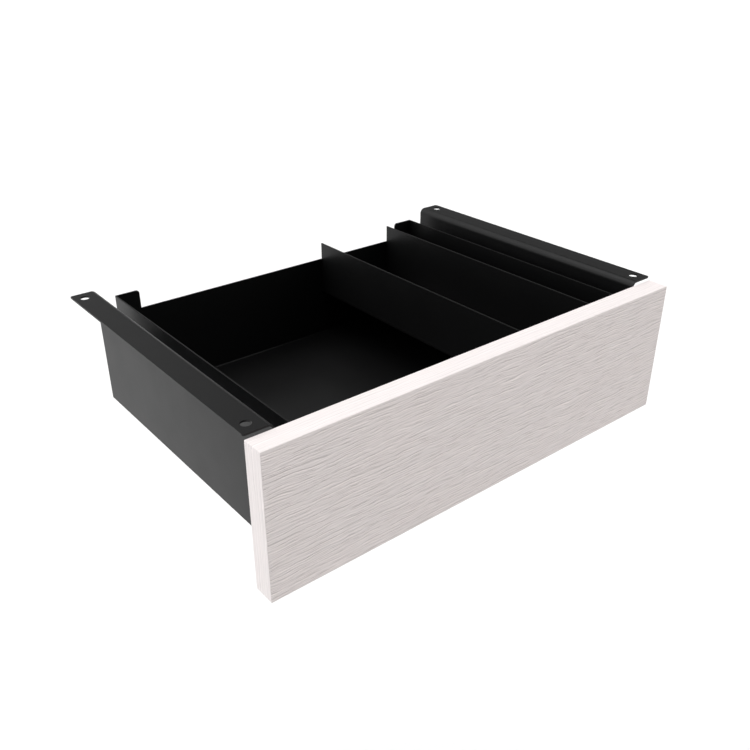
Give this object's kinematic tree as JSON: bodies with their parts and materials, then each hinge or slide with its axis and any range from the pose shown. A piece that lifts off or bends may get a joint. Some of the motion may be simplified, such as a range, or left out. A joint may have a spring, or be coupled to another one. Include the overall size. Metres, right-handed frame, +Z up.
{
  "type": "under desk drawer",
  "caption": "Shallow steel drawer hung under a desk on two L brackets and ball-bearing rails, with a wood-look front board and a raised, divided tray on its right.",
  "frame": {"origin": "centre of the four desk screw holes, on the top plane of the bracket flanges", "axes": "+X to the right of a person at the drawer, +Y to its rear, +Z up"},
  "size_m": [0.35, 0.2504, 0.1032],
  "materials": {
    "powder_coat": "matte black powder coat",
    "zinc_steel": "bright zinc plate",
    "cage_steel": "plain cold-rolled steel, oiled",
    "ball_steel": "polished bearing steel",
    "buffer_rubber": "moulded rubber",
    "lever_plastic": "moulded black plastic",
    "fastener_steel": "zinc plate",
    "oak_board": "whitewashed oak foil with embossed grain",
    "oak_edging": "matching edging, fine grain"
  },
  "bodies": {
    "brackets": {"bracket_left": "powder_coat", "bracket_right": "powder_coat", "outer_rail_left": "zinc_steel", "outer_rail_right": "zinc_steel", "rail_buffer_left": "buffer_rubber", "rail_buffer_right": "buffer_rubber"},
    "outer_cages": {"outer_cage_left": "cage_steel", "outer_cage_right": "cage_steel", "outer_balls_left": "ball_steel", "outer_balls_right": "ball_steel"},
    "middle_rails": {"middle_rail_left": "zinc_steel", "middle_rail_right": "zinc_steel"},
    "inner_cages": {"inner_cage_left": "cage_steel", "inner_cage_right": "cage_steel", "inner_balls_left": "ball_steel", "inner_balls_right": "ball_steel"},
    "drawer": {"drawer_box": "powder_coat", "organiser_tray": "powder_coat", "tray_divider": "powder_coat", "front_board": "oak_board", "edge_band_top": "oak_edging", "edge_band_bottom": "oak_edging", "edge_band_left": "oak_edging", "edge_band_right": "oak_edging", "front_screws": "fastener_steel", "inner_rail_left": "zinc_steel", "inner_rail_right": "zinc_steel", "rail_rivets_left": "fastener_steel", "rail_rivets_right": "fastener_steel", "lever_pin_left": "fastener_steel", "lever_pin_right": "fastener_steel"},
    "lever_left": {"release_lever_left": "lever_plastic"},
    "lever_right": {"release_lever_right": "lever_plastic"}
  },
  "joints": [
    {"name": "drawer_slide", "type": "slide", "parent": "brackets", "child": "drawer", "axis": [0, -1, 0], "range_m": [0, 0.2]},
    {"name": "middle_rail_slide", "type": "slide", "parent": "brackets", "child": "middle_rails", "axis": [0, -1, 0], "range_m": [0, 0.1]},
    {"name": "outer_cage_travel", "type": "slide", "parent": "brackets", "child": "outer_cages", "axis": [0, -1, 0], "range_m": [0, 0.05]},
    {"name": "inner_cage_travel", "type": "slide", "parent": "brackets", "child": "inner_cages", "axis": [0, -1, 0], "range_m": [0, 0.15]},
    {"name": "release_lever_left_turn", "type": "hinge", "parent": "drawer", "child": "lever_left", "pos_m": [-0.1459, -0.038, -0.05], "axis": [1, 0, 0], "range_deg": [0, 8], "stiffness_Nm_per_rad": 0.1},
    {"name": "release_lever_right_turn", "type": "hinge", "parent": "drawer", "child": "lever_right", "pos_m": [0.1459, -0.038, -0.05], "axis": [1, 0, 0], "range_deg": [-8, 0], "stiffness_Nm_per_rad": 0.1}
  ],
  "couplings": [
    {"joint": "middle_rail_slide", "follows": "drawer_slide", "ratio": 0.5},
    {"joint": "outer_cage_travel", "follows": "drawer_slide", "ratio": 0.25},
    {"joint": "inner_cage_travel", "follows": "drawer_slide", "ratio": 0.75}
  ]
}
